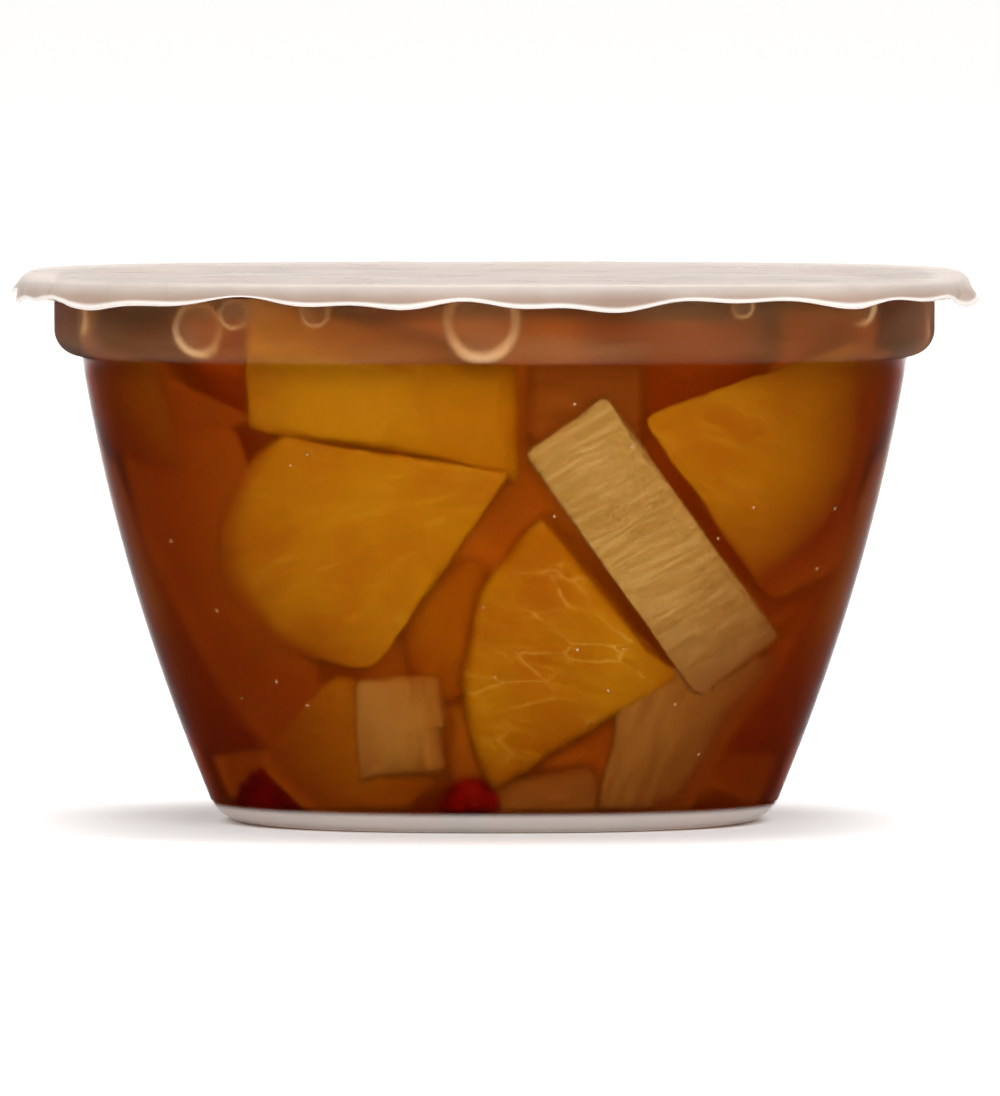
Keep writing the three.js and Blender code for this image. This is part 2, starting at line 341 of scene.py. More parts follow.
class Finish:
    """A material and the words that its node tree is written in."""

    def __init__(self, name):
        self.material = bpy.data.materials.new(name)
        self.material.use_nodes = True
        self.tree = self.material.node_tree
        self.tree.nodes.clear()
        self.output = self.tree.nodes.new("ShaderNodeOutputMaterial")

    def node(self, kind, settings=None, inputs=None, out=0):
        """Adds a node, sets it up, feeds its sockets with values or wires, and returns one output."""
        made = self.tree.nodes.new(kind)
        for key, value in (settings or {}).items():
            setattr(made, key, value)
        for key, value in (inputs or {}).items():
            self.feed(made.inputs[key], value)
        return Wire(self, made.outputs[out])

    def feed(self, socket, value):
        """Links a wire to a socket, or sets its value."""
        if isinstance(value, Wire):
            self.tree.links.new(value.socket, socket)
        elif socket.type == "RGBA" and len(value) == 3:
            socket.default_value = (*value, 1)
        else:
            socket.default_value = value

    def split(self, vector):
        """The three numbers of a vector."""
        parts = self.node("ShaderNodeSeparateXYZ", None, {0: vector}).socket.node
        return [Wire(self, part) for part in parts.outputs]

    def place(self):
        """Object coordinates, in metres."""
        return self.node("ShaderNodeTexCoord", out="Object")

    def stored(self, name):
        """A vector that is stored with the mesh."""
        return self.node("ShaderNodeAttribute", {"attribute_name": name}, out="Vector")

    def blend(self, amount, a, b, way="MIX"):
        """Two colours mixed by an amount."""
        return self.node(
            "ShaderNodeMix",
            {"data_type": "RGBA", "blend_type": way, "clamp_factor": True},
            {0: amount, 6: a, 7: b},
            out=2,
        )

    def spread(self, value, low, high, to_low=0.0, to_high=1.0):
        """A value taken smoothly from one range to another, and held at its ends."""
        return self.node(
            "ShaderNodeMapRange",
            {"interpolation_type": "SMOOTHSTEP"},
            {"Value": value, "From Min": low, "From Max": high, "To Min": to_low, "To Max": to_high},
        )

    def clouds(self, vector, scale, detail=3.0, roughness=0.5, out=0):
        """Noise on coordinates. scale is in cells per unit of the coordinates."""
        return self.node(
            "ShaderNodeTexNoise",
            {"noise_dimensions": "3D"},
            {"Vector": vector, "Scale": scale, "Detail": detail, "Roughness": roughness},
            out,
        )

    def cells(self, vector, feature, scale=1.0):
        """Distances in a pattern of uneven cells."""
        return self.node("ShaderNodeTexVoronoi", {"feature": feature}, {"Vector": vector, "Scale": scale})

    def stretched(self, vector, scale):
        """Coordinates scaled on each axis."""
        return self.node("ShaderNodeVectorMath", {"operation": "MULTIPLY"}, {0: vector, 1: scale})

    def swayed(self, vector, scale, reach):
        """Coordinates that noise pushes about, by up to a reach on each axis."""
        push = self.clouds(vector, scale, 2.0, out="Color")
        return self.node(
            "ShaderNodeVectorMath", {"operation": "MULTIPLY_ADD"}, {0: push, 1: reach, 2: vector}
        )

    def relief(self, height, strength, distance):
        """A bump from a height, for a Normal socket."""
        return self.node(
            "ShaderNodeBump", None, {"Height": height, "Strength": strength, "Distance": distance}
        )

    def principled(self, colour, roughness, ior, more=None):
        """The main shader, with any further inputs by name."""
        inputs = {"Base Color": colour, "Roughness": roughness, "IOR": ior, **(more or {})}
        return self.node("ShaderNodeBsdfPrincipled", None, inputs)

    def clear(self, tint=(1, 1, 1)):
        """Nothing but a tint for the light that passes."""
        return self.node("ShaderNodeBsdfTransparent", None, {"Color": tint})

    def over(self, amount, below, above):
        """A shader with another laid over it by an amount."""
        return self.node("ShaderNodeMixShader", None, {0: amount, 1: below, 2: above})

    def lets_lamps_through(self, shader, tint=(1, 1, 1)):
        """The shader, with shadow rays let straight through it."""
        shadow = self.node("ShaderNodeLightPath", out="Is Shadow Ray")
        return self.over(shadow, shader, self.clear(tint))

    def sunk_with_painted_shade(self, depth, colour):
        """A colour darkened towards deep syrup by an amount in millimetres: the chunk's depth, as a
        painted share of the syrup's absorption, plus any painted shade.
        """
        drowned = self.blend(1.0, colour, (0.36, 0.085, 0.02), "MULTIPLY")
        return self.blend(self.spread(depth, 0.7, 8.0), colour, drowned)

    def fog_glow(self, depth):
        """A painted glow, as Emission inputs: deep fruit glows, standing in for the light that cloudy
        syrup scatters in front of it.
        """
        murk = self.spread(depth, 1.0, 5.5)
        return {"Emission Color": self.blend(murk, (0, 0, 0), colours().fog_glow[:]), "Emission Strength": 1.0}

    def done(self, surface, volume=None):
        """Sends the shader to the output and returns the material."""
        self.tree.links.new(surface.socket, self.output.inputs["Surface"])
        if volume is not None:
            self.tree.links.new(volume.socket, self.output.inputs["Volume"])
        return self.material


# ---------------------------------------------------------------- what a user may change


def length_property(name, description, millimetres):
    """A length that a user may change."""
    return FloatProperty(name=name, description=description, default=millimetres * MM, unit="LENGTH")


def colour_property(name, description, default):
    """A colour that a user may change."""
    return FloatVectorProperty(
        name=name, description=description, subtype="COLOR", default=default, min=0, max=1
    )


class FruitCupSizes(bpy.types.PropertyGroup):
    """Sizes of the cup's visible detail."""

    segments: IntProperty(name="Segments", description="Steps round the cup", default=256, min=64)
    film_thickness: length_property("Film thickness", "Thickness of the lid film", 0.22)
    margin_drop: length_property("Margin", "Mean length of the film past the flange", 1.5)
    crinkle: length_property("Crinkle", "Height of the film's creases", 0.12)
    specks: IntProperty(name="Specks", description="Fine bubbles on the wall", default=52, min=0)


class FruitCupColours(bpy.types.PropertyGroup):
    """Colours of fruit, syrup and plastic."""

    peach: colour_property("Peach", "Ripe flesh", (0.495, 0.233, 0.001))
    peach_deep: colour_property("Peach, deep", "Flesh near the stone", (0.43, 0.145, 0.0008))
    pineapple: colour_property("Pineapple", "Flesh", (0.46, 0.29, 0.078))
    pear: colour_property("Pear", "Flesh", (0.46, 0.245, 0.052))
    cherry: colour_property("Cherry", "Skin and flesh", (0.55, 0.018, 0.003))
    heart: colour_property("Heart", "The shaded middle of the heap", (0.78, 0.50, 0.05))
    syrup: colour_property("Syrup", "Colour that thick syrup turns", (0.80, 0.52, 0.17))
    # The colour of the painted glow on deep fruit.
    fog_glow: colour_property("Fog", "Light scattered by syrup before what lies deep", (0.125, 0.036, 0.0012))
    film: colour_property("Film", "Milky film", (0.62, 0.565, 0.52))
    floor: colour_property("Floor", "Studio floor", (0.88, 0.875, 0.87))


class FruitCupLook(bpy.types.PropertyGroup):
    """Strength of syrup, haze and lamps."""

    syrup_density: FloatProperty(name="Syrup density", description="Absorption per metre", default=450.0)
    murk: FloatProperty(
        name="Murk", description="How soft the syrup makes what lies deep", default=0.55, min=0, max=1
    )
    key: FloatProperty(name="Key lamp", description="Power", default=34.0, unit="POWER")
    top: FloatProperty(name="Top lamp", description="Power", default=24.0, unit="POWER")
    air: FloatProperty(
        name="Air", description="Strength of the even light from all round", default=1.14, min=0
    )


def sizes():
    """The sizes that a user may change."""
    return bpy.context.scene.fruit_cup_sizes


def colours():
    """The colours that a user may change."""
    return bpy.context.scene.fruit_cup_colours


def look():
    """The strengths that a user may change."""
    return bpy.context.scene.fruit_cup_look


# ---------------------------------------------------------------- finishes

FLESH_IOR = 1.4
WET_GLOSS = 0.06
SYRUP_IOR = 1.36
WALL_IOR = 1.012  # with syrup behind it the wall hardly bends the light
PLASTIC_IOR = 1.45


def fruit_coordinates(finish):
    """A chunk's own coordinates in millimetres, its random shade, its depth, and the painted shade for how
    dim its place is.
    """
    grain = finish.stored("grain")
    shade, depth, dim = finish.split(finish.stored("tone"))
    return grain, shade, depth, dim


def wet_flesh(finish, colour, roughness, more):
    """The material of fruit under syrup, which leaves it little gloss of its own."""
    more = {"Specular IOR Level": WET_GLOSS, **more}
    return finish.done(finish.principled(colour, roughness, FLESH_IOR, more))


def peach_flesh():
    """Ripe to deep orange with pale fibres, and on some chunks a net of veins."""
    finish = Finish("peach flesh")
    ripe, deep = colours().peach[:], colours().peach_deep[:]
    pale, vein_colour = (0.58, 0.32, 0.012), (0.70, 0.48, 0.08)
    grain, shade, depth, dim = fruit_coordinates(finish)
    drift = finish.clouds(grain, 0.13)
    colour = finish.blend(finish.spread(drift + shade * 0.3, 0.35, 0.76), deep, ripe)
    fibres = finish.clouds(finish.stretched(grain, (0.22, 1.6, 0.9)), 1.0, 4.0, 0.6)
    colour = finish.blend(finish.spread(fibres, 0.5, 0.7) * 0.5, colour, pale)
    warp = finish.swayed(grain, 0.25, (1.1, 1.1, 1.1))
    cells = finish.cells(finish.stretched(warp, (0.17, 0.42, 0.24)), "DISTANCE_TO_EDGE")
    vein = finish.spread(cells, 0.0, 0.03, 1.0, 0.0)
    here_and_there = finish.spread(finish.clouds(grain, 0.22), 0.45, 0.61)
    strength = finish.spread(shade, 0.1, 0.24, 0.62, 0.14)
    colour = finish.blend(vein * here_and_there * strength, colour, vein_colour)
    roughness = finish.spread(fibres, 0.3, 0.8, 0.34, 0.5)
    # The colour is darkened by depth and by painted shade, and the fog inputs add a painted glow.
    return wet_flesh(finish, finish.sunk_with_painted_shade(depth + dim, colour), roughness, finish.fog_glow(depth))


def pineapple_flesh():
    """Pale gold, with fine fibres that sway."""
    finish = Finish("pineapple flesh")
    deep, pale, dark = (0.40, 0.23, 0.055), (0.62, 0.45, 0.18), (0.30, 0.16, 0.03)
    grain, shade, depth, dim = fruit_coordinates(finish)
    sway = finish.swayed(grain, 0.22, (2.0, 1.0, 1.0))
    fibres = finish.clouds(finish.stretched(sway, (0.24, 3.2, 1.2)), 1.0, 4.0, 0.6)
    drift = finish.clouds(grain, 0.16, 2.0)
    colour = finish.blend(finish.spread(drift + shade * 0.4, 0.4, 0.95), deep, colours().pineapple[:])
    colour = finish.blend(finish.spread(fibres, 0.46, 0.64) * 0.56, colour, pale)
    colour = finish.blend(finish.spread(fibres, 0.5, 0.34) * 0.24, colour, dark)
    roughness = finish.spread(fibres, 0.3, 0.8, 0.36, 0.55)
    # The colour is darkened by depth and by painted shade, and the fog inputs add a painted glow.
    more = {"Normal": finish.relief(fibres, 0.08, 0.0003), **finish.fog_glow(depth)}
    return wet_flesh(finish, finish.sunk_with_painted_shade(depth + dim, colour), roughness, more)


def pear_flesh():
    """Pale brown, with soft streaks and a fine grit."""
    finish = Finish("pear flesh")
    deep, grit_colour = (0.36, 0.17, 0.03), (0.52, 0.36, 0.13)
    grain, shade, depth, dim = fruit_coordinates(finish)
    streaks = finish.clouds(finish.stretched(grain, (1.1, 0.16, 0.6)), 1.0)
    colour = finish.blend(finish.spread(streaks + shade * 0.3, 0.4, 0.8), deep, colours().pear[:])
    grit = finish.cells(grain, "F1", 1.9)
    colour = finish.blend(finish.spread(grit, 0.0, 0.16, 1.0, 0.0) * 0.35, colour, grit_colour)
    roughness = finish.spread(grit, 0.0, 0.4, 0.5, 0.38)
    # The colour is darkened by depth and by painted shade, and the fog inputs add a painted glow.
    return wet_flesh(finish, finish.sunk_with_painted_shade(depth + dim, colour), roughness, finish.fog_glow(depth))


def cherry_flesh():
    """Blotched red."""
    finish = Finish("cherry flesh")
    grain, _, depth, dim = fruit_coordinates(finish)
    blush = finish.clouds(grain, 0.35)
    colour = finish.blend(finish.spread(blush, 0.35, 0.7), (0.28, 0.006, 0.006), colours().cherry[:])
    roughness = finish.spread(blush, 0.3, 0.8, 0.2, 0.34)
    more = {"Normal": finish.relief(finish.clouds(grain, 1.1), 0.25, 0.0004)}
    # The colour is darkened by depth and by painted shade.
    return wet_flesh(finish, finish.sunk_with_painted_shade(depth + dim, colour), roughness, more)


def heart_of_heap():
    """What lies behind the chunks. It has a painted glow, standing in for light scattered by cloudy syrup,
    but less at the corners.
    """
    finish = Finish("heart of the heap")
    dark_glow, glow = (0.115, 0.036, 0.002), (0.25, 0.12, 0.009)
    place = finish.place()
    x, y, _ = finish.split(place)
    # Painted glow: strongest near the middle of each side, weaker towards the corners.
    middle = finish.spread((x * y * 1e6) ** 2.0, 8000.0, 70000.0, 1.0, 0.0)
    patches = finish.clouds(place, 85.0, 2.0)
    colour = finish.blend(finish.spread(patches, 0.35, 0.65), (0.42, 0.18, 0.008), colours().heart[:])
    roughness = finish.spread(patches, 0.3, 0.8, 0.5, 0.7)
    more = {"Emission Color": finish.blend(middle, dark_glow, glow), "Emission Strength": 1.0}
    return wet_flesh(finish, colour, roughness, more)


def amber_syrup():
    """Syrup that colours with depth. The roughness of its surface stands for its cloudiness."""
    finish = Finish("amber syrup")
    surface = finish.node(
        "ShaderNodeBsdfRefraction", None, {"Color": (1, 1, 1), "Roughness": look().murk, "IOR": SYRUP_IOR}
    )
    volume = finish.node(
        "ShaderNodeVolumeAbsorption", None, {"Color": colours().syrup[:], "Density": look().syrup_density}
    )
    return finish.done(finish.lets_lamps_through(surface), volume)


def clear_plastic():
    """The wall of the cup."""
    finish = Finish("clear plastic")
    surface = finish.principled((0.985, 0.98, 0.975), 0.0, WALL_IOR, {"Transmission Weight": 1.0})
    return finish.done(finish.lets_lamps_through(surface, (0.96, 0.96, 0.96)))


def plastic_haze_and_painted_sheen():
    """The cup's thin veil, partly the plastic's haze and partly painted sheen: faint and amber on the
    band, painted as lit syrup behind it, and stronger and pale on the foot as a painted highlight strip.
    """
    finish = Finish("plastic haze and painted sheen")
    foot_colour, deep, pale = (0.84, 0.78, 0.72), (0.58, 0.29, 0.09), (0.74, 0.42, 0.16)
    place = finish.place()
    height = finish.split(place)[2]
    clouds = finish.clouds(finish.stretched(place, (90.0, 90.0, 260.0)), 1.0)
    band = finish.spread(height, (SHOULDER_BOTTOM - 0.1) * MM, (SHOULDER_BOTTOM + 0.7) * MM)
    colour = finish.blend(band, foot_colour, finish.blend(clouds, deep, pale))
    haze_and_sheen = finish.principled(colour, finish.spread(clouds, 0.3, 0.8, 0.3, 0.42), PLASTIC_IOR)
    # The foot's painted highlight strip.
    foot = finish.spread(height, (FOOT_STRIP - 0.6) * MM, FOOT_STRIP * MM, 0.6, 0.0)
    veil = foot + band * finish.spread(clouds, 0.35, 0.7, 0.06, 0.12)
    return finish.done(finish.over(veil, finish.clear(), haze_and_sheen))


def trapped_air():
    """A bubble: clear, with a painted bright ring that is stronger where its stored light is, and a faint
    painted sheen all over.
    """
    finish = Finish("trapped air")
    across, lit, _ = finish.split(finish.stored("round"))
    ring = finish.spread(across, 0.66, 0.88) * finish.spread(across, 1.0, 0.92, 0.35, 1.0) * lit
    glint = finish.principled((0.88, 0.66, 0.42), 0.2, PLASTIC_IOR)
    return finish.done(finish.over(ring * 0.75 + 0.06, finish.clear(), glint))


def speck_of_air():
    """A bubble too small for a ring, drawn as a pale opaque speck: a painted highlight."""
    finish = Finish("speck of air")
    return finish.done(finish.principled((0.88, 0.74, 0.52), 0.25, PLASTIC_IOR))


def milky_film():
    """A sheet that is part milk and part clear. Patches are painted duller as crease shade, the hanging
    margin is painted darker as shade and as the brown of what lies behind it, and the cut edge is painted
    bright as a highlight.
    """
    finish = Finish("milky film")
    dull, hanging_colour, cut_colour = (0.585, 0.53, 0.485), (0.40, 0.27, 0.20), (0.90, 0.86, 0.82)
    place = finish.place()
    height = finish.split(place)[2]
    cut = finish.split(finish.stored("rim"))[0]
    creases = finish.clouds(place, 150.0, 2.0)
    # Painted crease shade: duller in patches.
    colour = finish.blend(finish.spread(creases, 0.3, 0.75), dull, colours().film[:])
    # Painted shade on the hanging margin, with the brown of what lies behind it.
    hanging = finish.spread(height, (CUP_HEIGHT - 1.1) * MM, (CUP_HEIGHT + 0.1) * MM, 1.0, 0.0)
    colour = finish.blend(hanging * 0.9, colour, hanging_colour)
    # Painted highlight along the cut edge.
    colour = finish.blend(cut, colour, cut_colour)
    milk = finish.principled(colour, finish.spread(creases, 0.3, 0.8, 0.26, 0.4), PLASTIC_IOR)
    glow = finish.node("ShaderNodeBsdfTranslucent", None, {"Color": (0.62, 0.54, 0.48)})
    cover = finish.spread(creases, 0.25, 0.8, 0.7, 0.78) + cut * 0.18
    return finish.done(finish.over(cover, finish.clear(), finish.over(0.4, milk, glow)))


def studio_paper():
    """The pale floor."""
    finish = Finish("studio paper")
    tooth = finish.clouds(finish.place(), 60.0, 4.0, 0.6)
    pale = colours().floor[:]
    colour = finish.blend(tooth * 0.4, [v * 0.97 for v in pale], pale)
    relief = {"Normal": finish.relief(tooth, 0.1, 0.0005)}
    return finish.done(finish.principled(colour, 0.75, 1.5, relief))


# ---------------------------------------------------------------- fruit chunks


def wedge(point, reach, start, end, bulge=0.0, steps=14):
    """Outline of a cut wedge: two straight sides from its point and one round side. Degrees."""
    points = [point]
    for t in np.linspace(0, 1, steps + 1):
        angle = math.radians(start + (end - start) * t)
        r = reach + bulge * math.sin(math.pi * t)
        points.append((point[0] + r * math.cos(angle), point[1] + r * math.sin(angle)))
    return np.array(points)


def block(centre, width, height, turn=0.0, taper=0.0, skew=0.0):
    """Outline of a dice or stick, turned anticlockwise, its top narrowed by taper and pushed by skew."""
    corners = np.array(
        [
            (-width / 2, -height / 2),
            (width / 2, -height / 2),
            (width / 2 - taper + skew, height / 2),
            (-width / 2 + taper + skew, height / 2),
        ]
    )
    x, y = spun(*corners.T, turn)
    return np.array(centre) + np.column_stack([x, y])


def ball(centre, radius, steps=24):
    """Outline of a cherry."""
    angle = np.linspace(0, 2 * math.pi, steps, endpoint=False)
    return np.stack([centre[0] + radius * np.cos(angle), centre[1] + radius * np.sin(angle)], axis=1)


# Chunks that lie against one side of the cup: kind, outline, inset behind the wall, lean across,
# the direction of the flesh's fibres in degrees, and the facet along one side of the face.
FRONT_SIDE = [
    ("peach", block((-7.8, 35.6), 22, 10.4, -12, 0, -2.2), 0.5, 0.03, 84, (255, 0.7)),
    ("peach", wedge((1.6, 29.5), 19.4, 172, 235, 5.4), 0.7, -0.05, 20, (190, 1.4)),
    ("peach", block((-20.6, 18), 10.5, 29, 20), 3.4, 0, 110, (200, 1.2)),
    ("peach", wedge((-18.6, 33.6), 13, 156, 194), 3.4, 0, 0, (80, 0.8)),
    ("peach", wedge((14.6, 12.8), 17.2, 127, 212), 0.5, 0.04, -15, (62, 0.7)),
    ("pineapple", block((12.5, 23.4), 8, 24, 35), 0, 0, 28, (35, 0.6)),
    ("peach", wedge((11.8, 33.8), 18, -56, 20, 2), 0.9, 0.1, -20, (-30, 3.0)),
    ("peach", wedge((-12.2, 13.4), 9.6, 229, 341, 3), 2.4, 0, 40, (230, 1.0)),
    ("pear", block((-7.2, 8.2), 7.6, 9.6, 6, 0.4), 1.2, 0, 3, (300, 1.6)),
    ("pear", block((10.8, 7.2), 7.6, 11.4, 8, -2.4, 6.2), 1.1, 0, -24, (-40, 1.2)),
    ("peach", block((22.6, 8.4), 8, 13, -29), 2.8, 0, 61, (0, 1.0)),
    ("pear", block((7.2, 34.6), 9.4, 9.4), 2.6, 0, 90, (0, 0)),
    ("pineapple", block((3.6, 3.4), 9, 4.6, 8), 2.2, 0, 10, (90, 0.7)),
    ("peach", block((-3.4, 16.4), 8, 11, 14), 2.4, 0, 80, (0, 0)),
    ("cherry", ball((-17.2, 3.4), 3.2), 3.4, 0, 0, (0, 0)),
    ("cherry", ball((-1.6, 2.4), 2.6), 1.4, 0, 0, (0, 0)),
]

CHERRY_SIDE = [
    ("peach", block((11.4, 18.4), 12, 24, 4, 3.2), 0.3, 0.02, 88, (0, 1.5)),
    ("pear", block((0.4, 14.6), 10.4, 12, 8), 1.6, 0, 8, (180, 1.2)),
    ("pineapple", block((-11.6, 14.8), 20, 9.6, 28, 1.6), 0.8, -0.04, 60, (-60, 1.4)),
    ("peach", wedge((-7.4, 37.4), 18.4, 271, 342, 2), 0.4, 0.02, 300, (-60, 1.8)),
    ("peach", wedge((-8.2, 37), 17.4, 196, 266, 1), 0.9, -0.04, 240, (230, 2.0)),
    ("cherry", ball((-21, 26.6), 4.8), 0.5, 0, 0, (0, 0)),
    ("peach", wedge((24, 32), 16, 190, 262), 3, 0, 220, (220, 1.5)),
    ("peach", block((18, 35), 12, 10, -6), 1.2, 0, 30, (200, 1.0)),
    ("peach", wedge((2, 1.4), 13, 16, 66), 2.2, 0, 40, (60, 1.0)),
    ("peach", wedge((-2, 1.4), 14, 118, 172), 2.4, 0, 150, (120, 1.0)),
    ("peach", block((-3, 24), 14, 12, -10), 5, 0, 60, (0, 0)),
]


def mirrored(side):
    """The chunks of a side, the other way round."""
    flip = np.array([-1, 1])
    return [
        (kind, outline * flip, inset, -lean, 180 - way, (180 - facet[0], facet[1]))
        for kind, outline, inset, lean, way, facet in side
    ]


SIDES = [(0, FRONT_SIDE), (90, mirrored(CHERRY_SIDE)), (180, mirrored(FRONT_SIDE)), (270, CHERRY_SIDE)]

# Chunks that lie flat, seen from above: kind, outline, height of the top, fibre direction.
LYING = [
    ("peach", wedge((-4, 2), 17, 100, 168, 2), 42.6, 130),
    ("peach", wedge((5, 5), 17, 14, 86, 1), 41.8, 50),
    ("pineapple", block((17, -7), 9, 23, 22), 42.9, 10),
    ("peach", wedge((1, -5), 19, 202, 262, 2), 42.4, 230),
    ("pear", block((-20, 0), 11, 11, 20), 42, 20),
    ("cherry", ball((3, -1), 4.8), 42.8, 0),
    ("pineapple", block((4, -20), 12, 10, -12), 42.2, 80),
    ("pear", block((2, 22), 13, 9, 9), 42.7, 9),
    ("pear", block((24.5, -23.5), 9, 8.5, 28), 42.6, 28),
    ("peach", block((-24, -16), 10, 15, -40), 41.2, 30),
    ("peach", block((25, 15), 10, 15, -38), 41.6, 60),
    ("peach", wedge((-3, 1), 13, 20, 96, 2), 8.4, 60),
    ("peach", wedge((-2, -2), 13, 196, 262, 1), 8.2, 230),
    ("pineapple", block((7, -7), 9, 10, 30), 8.5, 20),
    ("pear", block((-9, 8), 8, 9, 14), 8.3, 14),
]

# Each kind's edge radius, crown of its faces, unevenness of its faces, and corner radius of its outline.
CUT = {
    "peach": (1.0, 0.35, 0.22, 0.9),
    "pineapple": (0.5, 0.1, 0.12, 0.6),
    "pear": (0.9, 0.25, 0.16, 0.9),
    "cherry": (2.3, 0.6, 0.12, 0.0),
}


def smooth_outline(outline, radius, count):
    """The outline with round corners, as evenly spaced points that run anticlockwise."""
    x, y = outline.T
    if np.sum(x * np.roll(y, -1) - np.roll(x, -1) * y) < 0:
        outline = outline[::-1]
    path = []
    for i, here in enumerate(outline):
        path += rounding(outline[i - 1], here, outline[(i + 1) % len(outline)], radius, 6, 0.45)
    path = np.array(path)
    steps = np.linalg.norm(np.roll(path, -1, axis=0) - path, axis=1)
    along = np.concatenate([[0], np.cumsum(steps)])
    wanted = np.linspace(0, along[-1], count, endpoint=False)
    closed = np.vstack([path, path[:1]])
    return np.stack([np.interp(wanted, along, closed[:, k]) for k in (0, 1)], axis=1)


def chunk(kind, outline, depth, seed, facet=(0, 0), count=84):
    """A cut piece lying face up with its face at height 0: points and faces.

    facet is the direction, in degrees, and the width of a slanting cut along one side of the face.
    """
    edge_radius, crown, uneven, corner_radius = CUT[kind]
    rim = smooth_outline(outline, corner_radius, count)
    middle = rim.mean(axis=0)
    spokes = rim - middle
    lengths = np.linalg.norm(spokes, axis=1)
    narrow = lengths.min()
    sideways = spokes / lengths[:, None]
    edge_radius = min(edge_radius, narrow * 0.8, depth * 0.4)
    way = np.array([math.cos(math.radians(facet[0])), math.sin(math.radians(facet[0]))])
    facing = np.clip((sideways @ way - 0.25) / 0.35, 0, 1)
    face_rim = rim - way * (facet[1] * facing * facing * (3 - 2 * facing))[:, None]
    slant = min(facet[1] * 1.3, depth * 0.5 - edge_radius)

    rings = []

    def ring(line, inset, height):
        shrink = np.clip(1 - inset / narrow, 0.0, 1.0)
        rings.append(np.column_stack([middle + (line - middle) * shrink, np.full(count, height)]))

    flat_share = 1 - edge_radius / narrow
    for s in np.linspace(0.04, 1, 10)[:-1]:  # the crowned face
        ring(face_rim, narrow * (1 - flat_share * s), crown * (1 - s * s))
    for a in np.radians(np.linspace(90, 0, 7)):  # its round edge
        ring(face_rim, edge_radius * (1 - math.cos(a)), edge_radius * (math.sin(a) - 1))
    low = -edge_radius
    if slant > 0:
        for t in np.linspace(0, 1, 6)[1:]:
            ring(face_rim + (rim - face_rim) * t, 0, low - slant * t)
        low -= slant
    for t in np.linspace(0, 1, 5)[1:]:  # the sides
        ring(rim, 0, low + (edge_radius - depth - low) * t)
    for a in np.radians(np.linspace(0, 90, 4)[1:]):  # the round edge below
        ring(rim, edge_radius * (1 - math.cos(a)), -depth + edge_radius * (1 - math.sin(a)))
    points = np.concatenate(rings)
    faces = [face[::-1] for face in ring_faces(len(rings), count)]
    faces += fan(len(points), 0, count)
    faces += fan(len(points) + 1, (len(rings) - 1) * count, count, down=True)
    points = np.vstack([points, np.append(middle, crown), np.append(middle, -depth)])

    away = np.zeros_like(points)
    away[:-2, :2] = np.tile(sideways, (len(rings), 1))
    wobble = uneven * (1.6 * bumps(points, 5.5, seed, 2) + 0.6 * bumps(points, 1.5, seed + 40, 2))
    points = points + away * wobble[:, None]
    points[:, 2] += np.where(points[:, 2] > -edge_radius, wobble, 0) * 0.8
    return points, faces


def press_into_room(points, layer, rank, from_side=False):
    """Keeps points inside the room for fruit. layer is how far behind the chunk's face each point lies.

    A chunk against the side at -Y slides straight in from that side, and any other one towards the axis.
    """
    x, y, z = points.T
    lowering = LAYER_LOWERING * layer
    z = np.clip(z, BASE_RECESS + WALL + CHUNK_CLEARANCE + lowering, FRUIT_TOP - lowering)
    limit = room_half(z) - LAYER_NARROWING * layer - RANK_STEP * rank
    if from_side:
        widest = 0.95 * limit
        x = np.clip(x, -widest, widest)
        n = squareness(z)
        y = np.maximum(y, -((limit**n - np.abs(x) ** n) ** (1 / n)))
    wide = gauge(x, y, z)
    scale = np.where(wide > limit, limit / np.maximum(wide, 1e-6), 1)
    return np.column_stack([x * scale, y * scale, z])


def grain_of(points, middle, way, seed):
    """Coordinates of a chunk's own flesh, turned so that its fibres run along the first one."""
    x, y = spun(points[:, 0] - middle[0], points[:, 1] - middle[1], -way)
    return np.column_stack([x, y, points[:, 2]]) + seed * 31.0


def dimness(points):
    """Painted shade: what lies low or towards a corner of the cup is darkened, as it gets less light
    through the syrup.
    """
    x, y, z = points.T
    turn = (abs(x) - abs(y)) / room_half(z)
    corner_ness = np.interp(turn, [-0.8, 0, 0.4, 0.7, 1], [0, 0.85, 1.4, 1.3, 0])
    low = np.clip((20 - z) / 20, 0, 1)
    return CORNER_SHADE * corner_ness + LOW_SHADE * low


def tone_of(points, depth, seed, shadow):
    """For a chunk's points: its own random shade, their depth in the syrup, and the painted shade for how
    dim their place is.
    """
    shade = np.full(len(points), (seed * 0.618) % 1)
    return np.column_stack([shade, depth, dimness(points) + shadow])


